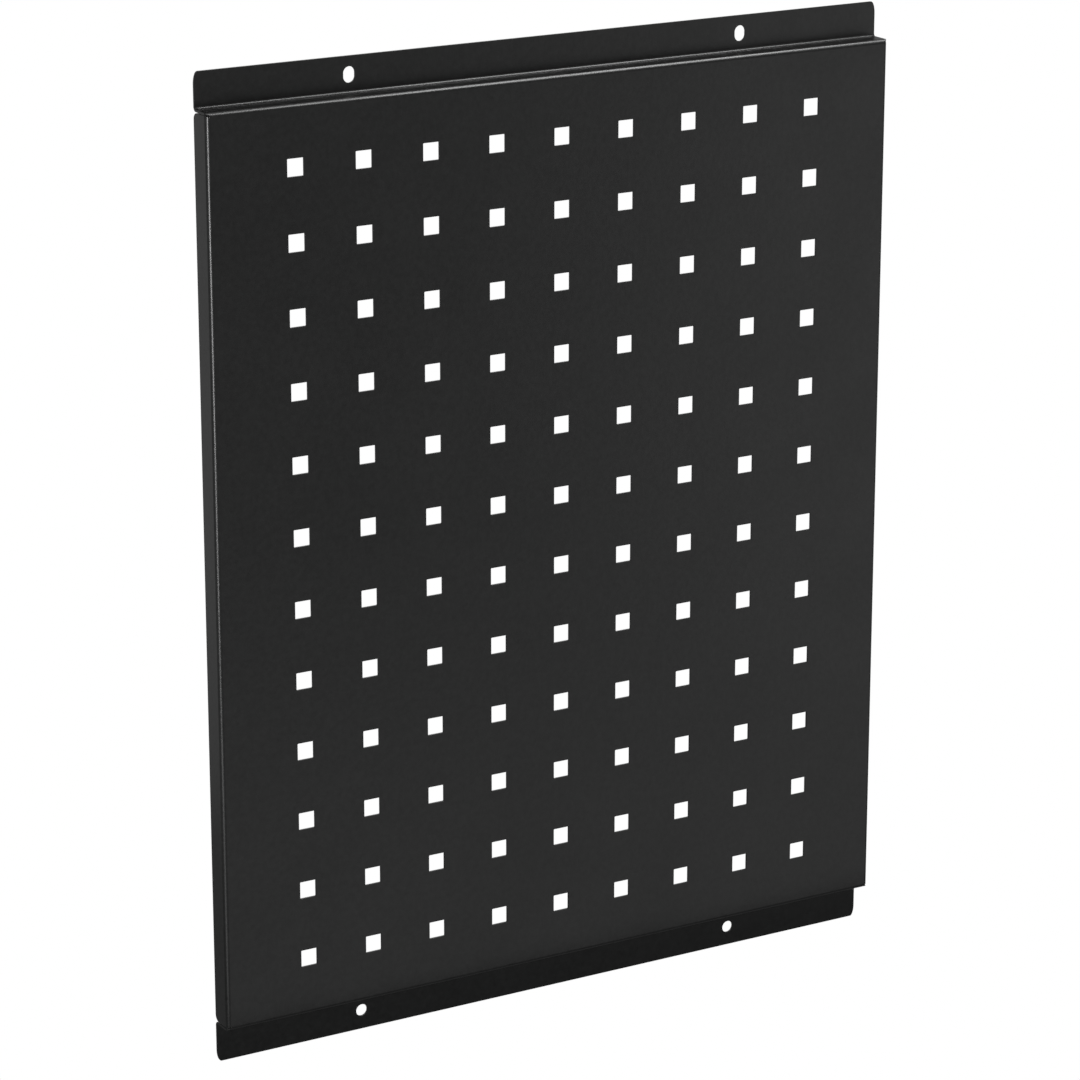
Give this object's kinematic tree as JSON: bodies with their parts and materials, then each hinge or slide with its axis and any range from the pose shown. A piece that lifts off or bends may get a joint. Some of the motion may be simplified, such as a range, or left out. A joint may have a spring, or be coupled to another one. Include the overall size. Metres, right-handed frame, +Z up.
{
  "type": "perforated tool panel",
  "caption": "Flat black steel wall panel with a grid of square peg holes, folded back at its edges into a shallow open-backed tray with screw flanges along its top and bottom.",
  "frame": {"origin": "on the wall plane, midway between the two hanging slots, at the back of the top flange", "axes": "+X to the right as seen from the front, +Y into the wall, +Z up; the peg face looks along -Y"},
  "size_m": [0.4, 0.014, 0.521],
  "materials": {
    "black_powder_coat": "fine texture, low sheen"
  },
  "bodies": {
    "root": {"perforated_panel": "black_powder_coat"}
  },
  "joints": []
}
